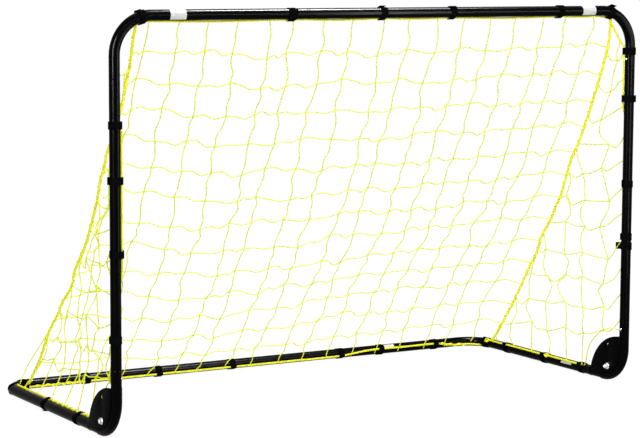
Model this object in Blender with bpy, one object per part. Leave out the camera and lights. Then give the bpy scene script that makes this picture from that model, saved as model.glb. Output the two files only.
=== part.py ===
"""Folding soccer goal: a tubular front frame, a U-shaped base frame that folds up against it, a net,
and hook-and-loop straps that hold the net's border rope to the tubes.

Metres, +Z up. X runs along the crossbar, the goal mouth faces -Y, and the ground is Z = 0.
The origin lies on the ground, under the middle of the goal.
"""
import math

import bmesh
import bpy
from mathutils import Matrix, Vector

# Overall size, measured over the tubes
goal_width = 1.829
goal_height = 1.219
goal_depth = 0.870

# Tubes
tube_diameter = 0.0318
tube_wall = 0.0015
tube_sides = 16
top_bend_radius = 0.112
rear_bend_radius = 0.090
foot_bend_radius = 0.100
bend_steps = 7
crossbar_middle_length = 0.560
rear_middle_length = 0.400
corner_drop = 0.194
foot_height = 0.205
spigot_length = 0.050
fit_gap = 0.0003

# Hinge at each foot
foot_tail = 0.008
rail_gap = 0.0015
plate_thickness = 0.0025
fan_radius = 0.155
pivot_back = 0.061
pivot_height = 0.051
lock_hole_distance = 0.070
lock_hole_diameter = 0.010
bolt_diameter = 0.008
bolt_clearance = 0.0004
bolt_head_width = 0.013
bolt_head_height = 0.0053
bolt_end_length = 0.006
nut_height = 0.0068
washer_diameter = 0.020
washer_thickness = 0.0016
lug_thickness = 0.006
lug_grip = 0.040
boss_diameter = 0.0128
ear_diameter = 0.019
bead_height = 0.0010
bead_width = 0.008
bead_setback = 0.006
head_chamfer = 0.0010
nut_chamfer = 0.0007
tip_chamfer = 0.0012
slot_overshoot = 0.010
cutter_reach = 0.050
fan_steps = 14
arc_steps = 8
round_sides = 16
hole_sides = 12

# Snap buttons
button_diameter = 0.0076
button_proud = 0.0023
button_setback = 0.025
leaf_width = 0.008
leaf_thickness = 0.0008
leaf_length = 0.034
leaf_margin = 0.001
leaf_bend_share = 0.15
leaf_foot_share = 0.6
crown_share = 0.8
crown_top_share = 0.4
crown_drop = 0.0013
crown_shoulder = 0.0005

# Straps, placed as shares of the run of tube that they sit on
strap_width = 0.025
strap_thickness = 0.002
bend_slack = 0.0030
strap_off_button = 0.004
loop_sides = 8
crossbar_strap_shares = (-0.907, -0.373, -0.029, 0.246, 0.690, 0.909)
left_upright_strap_shares = (0.243, 0.445, 0.617, 0.746)
right_upright_strap_shares = (0.399, 0.540, 0.767, 0.893)
left_rail_strap_shares = (0.310, 0.597)
right_rail_strap_shares = (0.259, 0.509, 0.774)
rear_strap_shares = (-0.938, -0.692, -0.407, -0.105, 0.362, 0.788)

# Net
rope_diameter = 0.007
cord_diameter = 0.0026
net_columns = 16
net_rows = 13
side_cells = 9
net_sag = 0.045
sag_direction = (0.0, -0.8, -0.6)
sag_evenness = 4
side_evenness = 3
side_bulge = 0.020
seam_inset = 0.006
net_off_plates = 0.030
rope_below_crossbar = (0.0, 0.5, -0.866)
rope_at_rear_bar = (0.0, -0.94, -0.34)
rope_slope = math.radians(45)

# Worked out from the sizes above
tube_radius = tube_diameter / 2
flat_share = math.cos(math.pi / tube_sides)
tube_flat = tube_radius * flat_share
bore_radius = tube_radius - tube_wall
spigot_radius = bore_radius - fit_gap / flat_share
spigot_bore = spigot_radius - tube_wall
half_width = goal_width / 2 - tube_radius
front_y = -(goal_depth / 2 - tube_radius)
rear_y = -front_y
axis_depth = rear_y - front_y
top_z = goal_height - tube_radius
foot_z = tube_flat
base_z = tube_flat + fit_gap + strap_thickness
corner_joint_z = goal_height - corner_drop
foot_joint_z = foot_height
pivot_y = front_y + pivot_back
rail_front_y = front_y + foot_bend_radius + foot_tail + rail_gap
plate_inner = tube_radius + fit_gap
plate_outer = plate_inner + plate_thickness
button_travel = button_proud + tube_wall + fit_gap
rope_radius = rope_diameter / 2
rope_reach = strap_width / 2 + rope_radius + 2 * fit_gap
crossbar_button_x = crossbar_middle_length / 2 + button_setback
rear_button_x = rear_middle_length / 2 + button_setback
corner_button_z = corner_joint_z + button_setback
foot_button_z = foot_joint_z - button_setback


def clear_scene():
    for thing in list(bpy.data.objects):
        bpy.data.objects.remove(thing, do_unlink=True)


def make_material(name, colour, roughness, metallic):
    material = bpy.data.materials.new(name)
    material.use_nodes = True
    shader = material.node_tree.nodes["Principled BSDF"]
    shader.inputs["Base Color"].default_value = (*colour, 1.0)
    shader.inputs["Roughness"].default_value = roughness
    shader.inputs["Metallic"].default_value = metallic
    return material


def steel_paint(name):
    return make_material(name + "_paint", (0.012, 0.012, 0.013), 0.25, 0.0)


def zinc(name):
    return make_material(name + "_zinc", (0.75, 0.76, 0.78), 0.3, 1.0)


def webbing(name):
    return make_material(name + "_webbing", (0.015, 0.015, 0.016), 0.85, 0.0)


def yellow_cord(name):
    return make_material(name + "_cord", (0.85, 0.95, 0.05), 0.6, 0.0)


def add_object(name, mesh, material, parent=None):
    thing = bpy.data.objects.new(name, mesh)
    bpy.context.scene.collection.objects.link(thing)
    if material is not None:
        mesh.materials.clear()
        mesh.materials.append(material)
    if parent is not None:
        thing.parent = parent
        thing.matrix_parent_inverse = parent.matrix_world.inverted()
    return thing


def add_axis(name, place):
    axis = bpy.data.objects.new(name, None)
    axis.location = place
    bpy.context.scene.collection.objects.link(axis)
    bpy.context.view_layer.update()
    return axis


def mesh_from(name, bm):
    bmesh.ops.recalc_face_normals(bm, faces=bm.faces)
    mesh = bpy.data.meshes.new(name)
    bm.to_mesh(mesh)
    bm.free()
    return mesh


def round_off(mesh, degrees=35):
    mesh.shade_smooth()
    mesh.set_sharp_from_angle(angle=math.radians(degrees))


def mark_cutter(thing):
    thing.hide_render = True
    thing.display_type = "WIRE"


def cut(thing, cutter):
    modifier = thing.modifiers.new(cutter.name, "BOOLEAN")
    modifier.operation = "DIFFERENCE"
    modifier.object = cutter


def joined(name, mesh_a, mesh_b):
    """One mesh holding the union of two closed meshes."""
    first = add_object(name + "_first", mesh_a, None)
    second = add_object(name + "_second", mesh_b, None)
    modifier = first.modifiers.new("union", "BOOLEAN")
    modifier.operation = "UNION"
    modifier.object = second
    bpy.context.view_layer.update()
    graph = bpy.context.evaluated_depsgraph_get()
    mesh = bpy.data.meshes.new_from_object(first.evaluated_get(graph))
    bpy.data.objects.remove(first)
    bpy.data.objects.remove(second)
    return mesh


def ring(bm, centre, along, across, radius, sides=tube_sides):
    """A ring of vertices square to along. across points at the middle of one of its flats."""
    other = along.cross(across)
    verts = []
    for i in range(sides):
        angle = 2 * math.pi * (i + 0.5) / sides
        verts.append(bm.verts.new(centre + radius * (math.cos(angle) * across + math.sin(angle) * other)))
    return verts


def bridge(bm, ring_a, ring_b):
    count = len(ring_a)
    for i in range(count):
        j = (i + 1) % count
        bm.faces.new((ring_a[i], ring_a[j], ring_b[j], ring_b[i]))


def arc_points(centre, arm_a, arm_b, radius, steps):
    """Points and tangents of a quarter bend that starts at arm_a and ends at arm_b."""
    points = []
    for i in range(1, steps):
        angle = 0.5 * math.pi * i / steps
        place = centre + radius * (math.cos(angle) * arm_a + math.sin(angle) * arm_b)
        along = math.cos(angle) * arm_b - math.sin(angle) * arm_a
        points.append((place, along))
    return points


def bent_route(start, corner, end, radius):
    """A straight run, a quarter bend at corner, and a second straight run."""
    into = (corner - start).normalized()
    out = (end - corner).normalized()
    centre = corner + radius * (out - into)
    route = [(start, into), (corner - radius * into, into)]
    route += arc_points(centre, -out, into, radius, bend_steps)
    route += [(corner + radius * out, out), (end, out)]
    return route


def tube_mesh(name, route, across, start_spigot=False, end_spigot=False, bead_at=None):
    """A hollow tube along route. A spigot is a swaged end that slides into the next tube."""
    first, first_along = route[0]
    last, last_along = route[-1]
    outer = [(place, along, tube_radius) for place, along in route]
    inner = [(place, along, bore_radius) for place, along in route]
    if bead_at is not None:
        bead = [(first + first_along * (bead_at + step * bead_width / 3), first_along, radius)
                for step, radius in enumerate((tube_radius, tube_radius + bead_height,
                                               tube_radius + bead_height, tube_radius))]
        outer[1:1] = bead
    if start_spigot:
        tip = first - first_along * spigot_length
        outer[:0] = [(tip, first_along, spigot_radius), (first, first_along, spigot_radius)]
        inner[0] = (first + first_along * tube_wall, first_along, bore_radius)
        inner[:0] = [(tip, first_along, spigot_bore),
                     (first + first_along * tube_wall, first_along, spigot_bore)]
    if end_spigot:
        tip = last + last_along * spigot_length
        outer += [(last, last_along, spigot_radius), (tip, last_along, spigot_radius)]
        inner[-1] = (last - last_along * tube_wall, last_along, bore_radius)
        inner += [(last - last_along * tube_wall, last_along, spigot_bore),
                  (tip, last_along, spigot_bore)]
    bm = bmesh.new()
    rings = []
    for place, along, radius in outer + inner[::-1]:
        rings.append(ring(bm, place, along, (across - across.dot(along) * along).normalized(), radius))
    for a, b in zip(rings, rings[1:] + rings[:1]):
        bridge(bm, a, b)
    mesh = mesh_from(name, bm)
    round_off(mesh)
    return mesh


def prism_mesh(name, outline, half_thickness):
    """Extrudes an outline of (y, z) points to both sides of the plane X = 0."""
    bm = bmesh.new()
    verts = [bm.verts.new((-half_thickness, y, z)) for y, z in outline]
    face = bm.faces.new(verts)
    extruded = bmesh.ops.extrude_face_region(bm, geom=[face])
    moved = [v for v in extruded["geom"] if isinstance(v, bmesh.types.BMVert)]
    bmesh.ops.translate(bm, verts=moved, vec=(2 * half_thickness, 0, 0))
    return mesh_from(name, bm)


def turned_mesh(name, profile, sides):
    """Turns a closed profile of (radius, x) points about the X axis. Radius 0 makes a pole."""
    bm = bmesh.new()
    loops = []
    for radius, x in profile:
        if radius == 0:
            loops.append([bm.verts.new((x, 0, 0))])
        else:
            loops.append(ring(bm, Vector((x, 0, 0)), Vector((1, 0, 0)), Vector((0, 1, 0)), radius, sides))
    for a, b in zip(loops, loops[1:] + loops[:1]):
        if len(a) == 1 and len(b) == 1:
            continue
        if len(a) == 1 or len(b) == 1:
            pole, rim = (a[0], b) if len(a) == 1 else (b[0], a)
            for i in range(len(rim)):
                bm.faces.new((pole, rim[i], rim[(i + 1) % len(rim)]))
        else:
            bridge(bm, a, b)
    mesh = mesh_from(name, bm)
    round_off(mesh)
    return mesh


def arc_outline(centre, radius, start, stop, steps):
    """Points (y, z) on an arc, angles in degrees from +Y towards +Z."""
    points = []
    for i in range(steps + 1):
        angle = math.radians(start + (stop - start) * i / steps)
        points.append((centre[0] + radius * math.cos(angle), centre[1] + radius * math.sin(angle)))
    return points


def make_cutter(name, mesh, place, parent=None):
    cutter = add_object(name, mesh, None, parent)
    cutter.location = place
    mark_cutter(cutter)
    return cutter


def build_front_frame():
    """The crossbar, its corners, the uprights and the feet. Returns the tubes by name."""
    tubes = {}
    middle = crossbar_middle_length / 2
    route = [(Vector((-middle, front_y, top_z)), Vector((1, 0, 0))),
             (Vector((middle, front_y, top_z)), Vector((1, 0, 0)))]
    tubes["crossbar"] = tube_mesh("crossbar", route, Vector((0, 1, 0)), True, True)
    for side, label in ((-1, "left"), (1, "right")):
        x = side * half_width
        route = bent_route(Vector((side * middle, front_y, top_z)), Vector((x, front_y, top_z)),
                           Vector((x, front_y, corner_joint_z)), top_bend_radius)
        tubes["top_corner_" + label] = tube_mesh("top_corner_" + label, route, Vector((0, 1, 0)))
        route = [(Vector((x, front_y, corner_joint_z)), Vector((0, 0, -1))),
                 (Vector((x, front_y, foot_joint_z)), Vector((0, 0, -1)))]
        tubes["upright_" + label] = tube_mesh("upright_" + label, route, Vector((0, 1, 0)), True, True)
        foot_end = Vector((x, front_y + foot_bend_radius + foot_tail, foot_z))
        route = bent_route(Vector((x, front_y, foot_joint_z)), Vector((x, front_y, foot_z)),
                           foot_end, foot_bend_radius)
        tubes["foot_elbow_" + label] = tube_mesh("foot_elbow_" + label, route, Vector((1, 0, 0)))
    return {name: add_object(name, mesh, steel_paint(name)) for name, mesh in tubes.items()}


def build_base_frame(fold_axis):
    tubes = {}
    middle = rear_middle_length / 2
    route = [(Vector((-middle, rear_y, base_z)), Vector((1, 0, 0))),
             (Vector((middle, rear_y, base_z)), Vector((1, 0, 0)))]
    tubes["rear_bar"] = tube_mesh("rear_bar", route, Vector((0, 0, 1)), True, True)
    bead_at = front_y + fan_radius + bead_setback - rail_front_y
    for side, label in ((-1, "left"), (1, "right")):
        x = side * half_width
        route = bent_route(Vector((x, rail_front_y, base_z)), Vector((x, rear_y, base_z)),
                           Vector((side * middle, rear_y, base_z)), rear_bend_radius)
        tubes["side_rail_" + label] = tube_mesh("side_rail_" + label, route, Vector((0, 0, 1)),
                                                bead_at=bead_at)
    return {name: add_object(name, mesh, steel_paint(name), fold_axis) for name, mesh in tubes.items()}


def plate_outline():
    """Outline (y, z) of a hinge plate: up the upright, round the fan, and back along the foot."""
    fan_centre = (front_y, fit_gap)
    end_angle = math.degrees(math.asin((foot_z - fan_centre[1]) / fan_radius))
    bend_centre = (front_y + foot_bend_radius, foot_z + foot_bend_radius)
    outline = arc_outline(fan_centre, fan_radius, end_angle, 90, fan_steps)
    outline += arc_outline(bend_centre, foot_bend_radius, 180, 270, bend_steps)
    return outline


def lug_outline():
    """Outline (y, z) of a hinge lug: pivot end, lock ear, and the tongue inside the rail."""
    pivot = (pivot_y, pivot_height)
    ear = (pivot_y + lock_hole_distance, pivot_height)
    tongue_half = math.sqrt((bore_radius * flat_share - fit_gap) ** 2 - (lug_thickness / 2) ** 2)
    tongue_low = base_z - tongue_half
    tongue_front = rail_front_y + rail_gap
    tongue_back = rail_front_y + lug_grip
    outline = arc_outline(pivot, boss_diameter / 2, 255, 100, arc_steps)
    outline += arc_outline(ear, ear_diameter / 2, 100, -25, arc_steps)
    outline += [(tongue_back, base_z), (tongue_back, tongue_low)]
    outline += [(tongue_front, tongue_low), (tongue_front, base_z + tube_radius)]
    return outline


def build_hinge(side, label, tubes, fold_axis):
    """Plates, pivot bolt, washers and nut on the foot, and the lug in the rail."""
    x = side * half_width
    pivot = Vector((x, pivot_y, pivot_height))
    bolt_hole = bolt_diameter / 2 + bolt_clearance
    hole_mesh = turned_mesh("pivot_hole", [(0, -cutter_reach), (bolt_hole, -cutter_reach),
                                           (bolt_hole, cutter_reach), (0, cutter_reach)], hole_sides)
    pivot_hole = make_cutter("pivot_hole_" + label, hole_mesh, pivot)
    lock_hole = lock_hole_diameter / 2
    lock_mesh = turned_mesh("lock_hole", [(0, -cutter_reach), (lock_hole, -cutter_reach),
                                          (lock_hole, cutter_reach), (0, cutter_reach)], hole_sides)
    plate_hole = make_cutter("lock_hole_" + label, lock_mesh,
                             pivot + Vector((0, 0, lock_hole_distance)))
    for outward, place in ((1, "outer"), (-1, "inner")):
        name = "hinge_plate_" + label + "_" + place
        plate = add_object(name, prism_mesh(name, plate_outline(), plate_thickness / 2), steel_paint(name))
        plate.location.x = x + side * outward * (plate_inner + plate_thickness / 2)
        cut(plate, pivot_hole)
        cut(plate, plate_hole)

        name = "pivot_washer_" + label + "_" + place
        rim = washer_diameter / 2
        half = washer_thickness / 2
        washer = add_object(name, turned_mesh(name, [(bolt_hole, -half), (rim, -half), (rim, half),
                                                     (bolt_hole, half)], round_sides), zinc(name))
        washer.location = pivot
        washer.location.x = x + side * outward * (plate_outer + fit_gap + half)

    seat = plate_outer + 2 * fit_gap + washer_thickness
    shank = bolt_diameter / 2
    end = seat + nut_height + bolt_end_length
    name = "pivot_bolt_" + label
    across_corners = bolt_head_width / 2 / math.cos(math.pi / 6)
    top = seat + bolt_head_height
    head = turned_mesh(name + "_head", [(0, seat), (across_corners, seat),
                                        (across_corners, top - head_chamfer),
                                        (across_corners - head_chamfer, top), (0, top)], 6)
    stem = turned_mesh(name + "_stem", [(0, -end), (shank - tip_chamfer, -end),
                                        (shank, -end + tip_chamfer),
                                        (shank, seat + bolt_head_height / 2),
                                        (0, seat + bolt_head_height / 2)], hole_sides)
    bolt = add_object(name, joined(name, head, stem), zinc(name))
    bolt.location = pivot
    bolt.rotation_euler.z = 0 if side > 0 else math.pi

    name = "pivot_nut_" + label
    nut_bore = bolt_diameter / 2 + fit_gap
    nut_low = seat + fit_gap
    nut_high = nut_low + nut_height
    nut = turned_mesh(name, [(nut_bore, -nut_low), (across_corners - nut_chamfer, -nut_low),
                             (across_corners, -nut_low - nut_chamfer),
                             (across_corners, -nut_high + nut_chamfer),
                             (across_corners - nut_chamfer, -nut_high), (nut_bore, -nut_high)], hole_sides)
    nut_object = add_object(name, nut, zinc(name))
    nut_object.location = pivot
    nut_object.rotation_euler.z = 0 if side > 0 else math.pi

    name = "hinge_lug_" + label
    half_boss = plate_inner - fit_gap
    boss = turned_mesh(name + "_boss", [(0, -half_boss), (boss_diameter / 2, -half_boss),
                                        (boss_diameter / 2, half_boss), (0, half_boss)], round_sides)
    boss.transform(Matrix.Translation((0, pivot_y, pivot_height)))
    web = prism_mesh(name + "_web", lug_outline(), lug_thickness / 2)
    lug = add_object(name, joined(name, web, boss), steel_paint(name), fold_axis)
    lug.location.x = x
    cut(lug, pivot_hole)
    ear_hole = make_cutter("ear_hole_" + label, lock_mesh, pivot + Vector((0, lock_hole_distance, 0)))
    cut(lug, ear_hole)

    slot_half = lug_thickness / 2 + fit_gap
    slot_back = lug_grip + fit_gap
    slot = prism_mesh("slot", [(-slot_overshoot, 0), (slot_back, 0), (slot_back, tube_diameter),
                               (-slot_overshoot, tube_diameter)], slot_half)
    slot_cutter = make_cutter("slot_" + label, slot, Vector((x, rail_front_y, base_z)))
    cut(tubes["side_rail_" + label], slot_cutter)


def button_mesh():
    """A snap button with its leaf spring. +Z points out of the tube and 0 is the tube's axis."""
    flat_top = math.sqrt((spigot_bore * flat_share - fit_gap) ** 2 - (leaf_width / 2) ** 2) - fit_gap
    knob = button_diameter / 2
    crown = tube_flat + button_proud
    flat_half = knob + leaf_margin
    bend_z = flat_top * leaf_bend_share
    foot_y = flat_half * leaf_foot_share
    foot_level = button_travel + 2 * fit_gap - flat_top
    upper = [(-flat_half, flat_top), (flat_half, flat_top), (leaf_length, bend_z),
             (foot_y, foot_level)]
    lower = [(foot_y, foot_level + 2 * leaf_thickness),
             (leaf_length - 3 * leaf_thickness, bend_z),
             (flat_half, flat_top - leaf_thickness), (-flat_half, flat_top - leaf_thickness)]
    leaf = prism_mesh("leaf", upper + lower, leaf_width / 2)
    knob_mesh = turned_mesh("knob", [(0, flat_top - leaf_thickness / 2),
                                     (knob, flat_top - leaf_thickness / 2),
                                     (knob, crown - crown_drop),
                                     (knob * crown_share, crown - crown_shoulder),
                                     (knob * crown_top_share, crown), (0, crown)], hole_sides)
    knob_mesh.transform(Matrix.Rotation(-math.pi / 2, 4, "Y"))
    return joined("snap_button", leaf, knob_mesh)


def build_buttons(tubes, fold_axis):
    """The eight snap buttons, with the holes that they stand in."""
    shared = button_mesh()
    round_off(shared)
    reach = tube_radius + button_proud
    hole_radius = button_diameter / 2 + fit_gap / math.cos(math.pi / hole_sides)
    hole_mesh = turned_mesh("button_hole", [(0, 0), (hole_radius, 0), (hole_radius, reach), (0, reach)],
                            hole_sides)
    hole_mesh.transform(Matrix.Rotation(-math.pi / 2, 4, "Y"))
    places = []
    for side, label in ((-1, "left"), (1, "right")):
        inward = Vector((-side, 0, 0))
        outward = Vector((side, 0, 0))
        x = side * half_width
        places += [
            ("snap_button_crossbar_" + label, Vector((side * crossbar_button_x, front_y, top_z)),
             Vector((0, 1, 0)), -outward, ("crossbar", "top_corner_" + label), None),
            ("snap_button_corner_" + label, Vector((x, front_y, corner_button_z)),
             inward, Vector((0, 0, -1)), ("upright_" + label, "top_corner_" + label), None),
            ("snap_button_foot_" + label, Vector((x, front_y, foot_button_z)),
             inward, Vector((0, 0, 1)), ("upright_" + label, "foot_elbow_" + label), None),
            ("snap_button_rear_" + label, Vector((side * rear_button_x, rear_y, base_z)),
             Vector((0, 1, 0)), -outward, ("rear_bar", "side_rail_" + label), fold_axis),
        ]
    for name, place, outward, along, holed, parent in places:
        turn = Matrix((outward.cross(along), along, outward)).transposed().to_4x4()
        world = Matrix.Translation(place) @ turn
        button = add_object(name, shared, None, parent)
        button.matrix_world = world
        cutter = add_object("hole_for_" + name, hole_mesh, None)
        cutter.matrix_world = world
        mark_cutter(cutter)
        for tube_name in holed:
            cut(tubes[tube_name], cutter)
    shared.materials.clear()
    shared.materials.append(zinc("snap_button"))


def hull(points):
    """Convex hull of (u, v) points, anticlockwise."""
    points = sorted(set((round(u, 7), round(v, 7)) for u, v in points))
    halves = []
    for ordered in (points, points[::-1]):
        chain = []
        for p in ordered:
            while len(chain) > 1:
                (au, av), (bu, bv) = chain[-2], chain[-1]
                if (bu - au) * (p[1] - av) - (bv - av) * (p[0] - au) > 1e-9:
                    break
                chain.pop()
            chain.append(p)
        halves.append(chain[:-1])
    return halves[0] + halves[1]


def rope_offset():
    """Distance from a tube's axis to the axis of the rope strapped against it."""
    return tube_radius + fit_gap + rope_radius


def build_strap(name, place, along, towards_rope, facing, slack, parent):
    """A band round the tube and the rope. facing is square to one flat of the band's round part."""
    other = along.cross(facing)
    band_radius = (tube_flat + fit_gap + slack) / flat_share
    loop_radius = rope_radius + 2 * fit_gap + slack
    place = place + facing * slack
    points = []
    for i in range(tube_sides):
        angle = 2 * math.pi * (i + 0.5) / tube_sides
        points.append((band_radius * math.cos(angle), band_radius * math.sin(angle)))
    rope_u = rope_offset() * towards_rope.dot(facing)
    rope_v = rope_offset() * towards_rope.dot(other)
    for i in range(loop_sides):
        angle = 2 * math.pi * (i + 0.5) / loop_sides
        points.append((rope_u + loop_radius * math.cos(angle), rope_v + loop_radius * math.sin(angle)))
    outline = hull(points)
    bm = bmesh.new()
    loops = []
    for end in (-strap_width / 2, strap_width / 2):
        loops.append([bm.verts.new(place + along * end + facing * u + other * v) for u, v in outline])
    bridge(bm, *loops)
    mesh = bpy.data.meshes.new(name)
    bm.to_mesh(mesh)
    bm.free()
    strap = add_object(name, mesh, webbing(name), parent)
    thicken = strap.modifiers.new("thickness", "SOLIDIFY")
    thicken.thickness = strap_thickness
    thicken.offset = 1.0
    thicken.use_even_offset = True
    thicken.use_quality_normals = True


def clear_of(value, obstacles, reach):
    """Moves a place along a tube to the nearer side of an obstacle that it would meet."""
    for obstacle in obstacles:
        if abs(value - obstacle) < reach:
            return obstacle + math.copysign(reach, value - obstacle)
    return value


def strap_places(shares, start, length, buttons=()):
    """Where the straps sit on a run of tube, clear of its snap buttons."""
    reach = (strap_width + button_diameter) / 2 + strap_off_button
    return [clear_of(start + share * length, buttons, reach) for share in shares]


def crossbar_places():
    return strap_places(crossbar_strap_shares, 0, half_width, (-crossbar_button_x, crossbar_button_x))


def rear_places():
    return strap_places(rear_strap_shares, 0, half_width, (-rear_button_x, rear_button_x))


def upright_places(label):
    shares = left_upright_strap_shares if label == "left" else right_upright_strap_shares
    return strap_places(shares, 0, top_z, (corner_button_z, foot_button_z))


def rail_places(label):
    shares = left_rail_strap_shares if label == "left" else right_rail_strap_shares
    return strap_places(shares, front_y, axis_depth)


def crossbar_at(x):
    """Point and direction of the front frame's top at a place along it."""
    over = abs(x) - (half_width - top_bend_radius)
    if over <= 0:
        return Vector((x, front_y, top_z)), Vector((1, 0, 0)), 0
    angle = math.asin(over / top_bend_radius)
    z = top_z - top_bend_radius * (1 - math.cos(angle))
    along = Vector((math.cos(angle), 0, -math.copysign(math.sin(angle), x)))
    return Vector((x, front_y, z)), along, bend_slack


def rear_at(x):
    """Point and direction of the rear bar at a place along it."""
    over = abs(x) - (half_width - rear_bend_radius)
    if over <= 0:
        return Vector((x, rear_y, base_z)), Vector((1, 0, 0)), 0
    angle = math.asin(over / rear_bend_radius)
    y = rear_y - rear_bend_radius * (1 - math.cos(angle))
    along = Vector((math.cos(angle), -math.copysign(math.sin(angle), x), 0))
    return Vector((x, y, base_z)), along, bend_slack


def build_straps(fold_axis):
    up = Vector((0, 0, 1))
    back = Vector((0, 1, 0))
    for number, x in enumerate(crossbar_places(), 1):
        place, along, slack = crossbar_at(x)
        rope = Vector(rope_below_crossbar)
        rope = (rope - rope.dot(along) * along).normalized()
        build_strap(f"strap_crossbar_{number}", place, along, rope, back, slack, None)
    for side, label in ((-1, "left"), (1, "right")):
        x = side * half_width
        rope = Vector((-side * math.cos(rope_slope), math.sin(rope_slope), 0))
        for number, z in enumerate(upright_places(label), 1):
            place = Vector((x, front_y, z))
            build_strap(f"strap_upright_{label}_{number}", place, up, rope, back, 0, None)
        rope = Vector((-side * math.cos(rope_slope), 0, math.sin(rope_slope)))
        for number, y in enumerate(rail_places(label), 1):
            place = Vector((x, y, base_z))
            build_strap(f"strap_rail_{label}_{number}", place, back, rope, up, 0, fold_axis)
    for number, x in enumerate(rear_places(), 1):
        place, along, slack = rear_at(x)
        rope = Vector(rope_at_rear_bar)
        rope = (rope - rope.dot(along) * along).normalized()
        build_strap(f"strap_rear_{number}", place, along, rope, up, slack, fold_axis)


def net_object(name, bm, rope_verts, parent=None):
    """Turns the edges of a sheet of cells into cords, thicker along the border rope."""
    rope_numbers = [v.index for v in rope_verts]
    cord_numbers = [v.index for v in bm.verts if v not in rope_verts]
    mesh = bpy.data.meshes.new(name)
    bm.to_mesh(mesh)
    bm.free()
    net = add_object(name, mesh, yellow_cord(name), parent)
    weights = net.vertex_groups.new(name="thickness")
    weights.add(rope_numbers, 1.0, "REPLACE")
    weights.add(cord_numbers, cord_diameter / rope_diameter, "REPLACE")
    cords = net.modifiers.new("cords", "WIREFRAME")
    cords.thickness = rope_diameter
    cords.offset = 0.0
    cords.use_boundary = True
    cords.use_replace = True
    cords.use_even_offset = False
    cords.use_relative_offset = False
    cords.vertex_group = "thickness"
    return net


def build_back_net():
    """The panel from the crossbar down to the rear bar."""
    top_rope, low_rope, top_half, low_half = back_net_edges()
    bm = bmesh.new()
    rows = []
    for row in range(net_rows + 1):
        down = row / net_rows
        line = []
        for column in range(net_columns + 1):
            across = 2 * column / net_columns - 1
            top_x = clear_of(across * top_half, crossbar_places(), rope_reach)
            low_x = clear_of(across * low_half, rear_places(), rope_reach)
            top = Vector((top_x, front_y + top_rope.y, top_z + top_rope.z))
            low = Vector((low_x, rear_y + low_rope.y, base_z + low_rope.z))
            place = top.lerp(low, down)
            slack = net_sag * 4 * down * (1 - down) * (1 - across ** sag_evenness)
            place += Vector(sag_direction) * slack
            line.append(bm.verts.new(place))
        rows.append(line)
    for upper, lower in zip(rows, rows[1:]):
        for i in range(net_columns):
            bm.faces.new((upper[i], upper[i + 1], lower[i + 1], lower[i]))
    bm.verts.index_update()
    rope = set(rows[0] + rows[-1] + [line[0] for line in rows] + [line[-1] for line in rows])
    net_object("back_net", bm, rope)


def net_corner_x(places, limit):
    """Where the back net's corner sits: just inside the outermost strap, at most limit."""
    return min(limit, max(places) - rope_reach)


def back_net_edges():
    """The rope's two offsets from the tubes, and the net's half widths at the top and the bottom."""
    top_rope = Vector(rope_below_crossbar).normalized() * rope_offset()
    low_rope = Vector(rope_at_rear_bar).normalized() * rope_offset()
    top_half = net_corner_x(crossbar_places(), half_width - top_bend_radius)
    low_half = half_width - rear_bend_radius
    return top_rope, low_rope, top_half, low_half


def seam_point(side, down):
    """A point on the back net's side border."""
    top_rope, low_rope, top_half, low_half = back_net_edges()
    top = Vector((side * top_half, front_y + top_rope.y, top_z + top_rope.z))
    low = Vector((side * low_half, rear_y + low_rope.y, base_z + low_rope.z))
    return top.lerp(low, down)


def build_side_net(side, label):
    """The triangle between an upright, a rail and the back net's border."""
    upright_straps = upright_places(label)
    rail_straps = rail_places(label)
    aside = rope_offset() * math.cos(rope_slope)
    behind = rope_offset() * math.sin(rope_slope)
    border_x = side * (half_width - aside)
    clear = fan_radius + net_off_plates
    apart = Vector((side * (seam_inset + rope_diameter), -seam_inset, -seam_inset))
    bm = bmesh.new()
    grid = {}
    for j in range(side_cells + 1):
        for k in range(side_cells + 1 - j):
            down = j / side_cells
            top = seam_point(side, down) + apart
            if j + k == side_cells and 0 < k < side_cells:
                place = top
            else:
                share = (j + k) / side_cells
                inward = share ** side_evenness if j and k else 0
                y = front_y + behind + (rear_y - rear_bend_radius - front_y - behind) * down
                z = base_z + behind + (top_z - top_bend_radius - base_z - behind) * k / side_cells
                place = Vector((border_x + (top.x - border_x) * inward, y, z))
                place.x += side * side_bulge * (1 - share) * 4 * (down * k / side_cells)
            from_foot = Vector((0, place.y - front_y, place.z))
            if from_foot.length < clear:
                from_foot = from_foot.normalized() * clear
                place.y = front_y + from_foot.y
                place.z = from_foot.z
            if k == 0:
                place.y = clear_of(place.y, rail_straps, rope_reach)
            if j == 0:
                place.z = clear_of(place.z, upright_straps, rope_reach)
            grid[j, k] = bm.verts.new(place)
    for j in range(side_cells):
        for k in range(side_cells - j):
            corners = [grid[j, k], grid[j + 1, k], grid[j, k + 1]]
            if j + k < side_cells - 1:
                corners.insert(2, grid[j + 1, k + 1])
            bm.faces.new(corners[::side])
    bm.verts.index_update()
    rope = set(grid[0, k] for k in range(side_cells + 1)) | set(grid[j, 0] for j in range(side_cells + 1))
    net_object("side_net_" + label, bm, rope)


def build_goal():
    clear_scene()
    fold_axis = add_axis("base_fold_axis", Vector((0, pivot_y, pivot_height)))
    tubes = build_front_frame()
    tubes.update(build_base_frame(fold_axis))
    for side, label in ((-1, "left"), (1, "right")):
        build_hinge(side, label, tubes, fold_axis)
    build_buttons(tubes, fold_axis)
    build_straps(fold_axis)
    build_back_net()
    for side, label in ((-1, "left"), (1, "right")):
        build_side_net(side, label)


build_goal()
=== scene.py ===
"""Folding soccer goal on a white sweep, as a studio photo shows it from its left front.

Metres, +Z up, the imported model's own frame. X runs along the crossbar and the goal mouth faces -Y.
"""

import math
import random

import bmesh
import bpy
from mathutils import Matrix, Vector, noise


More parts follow.
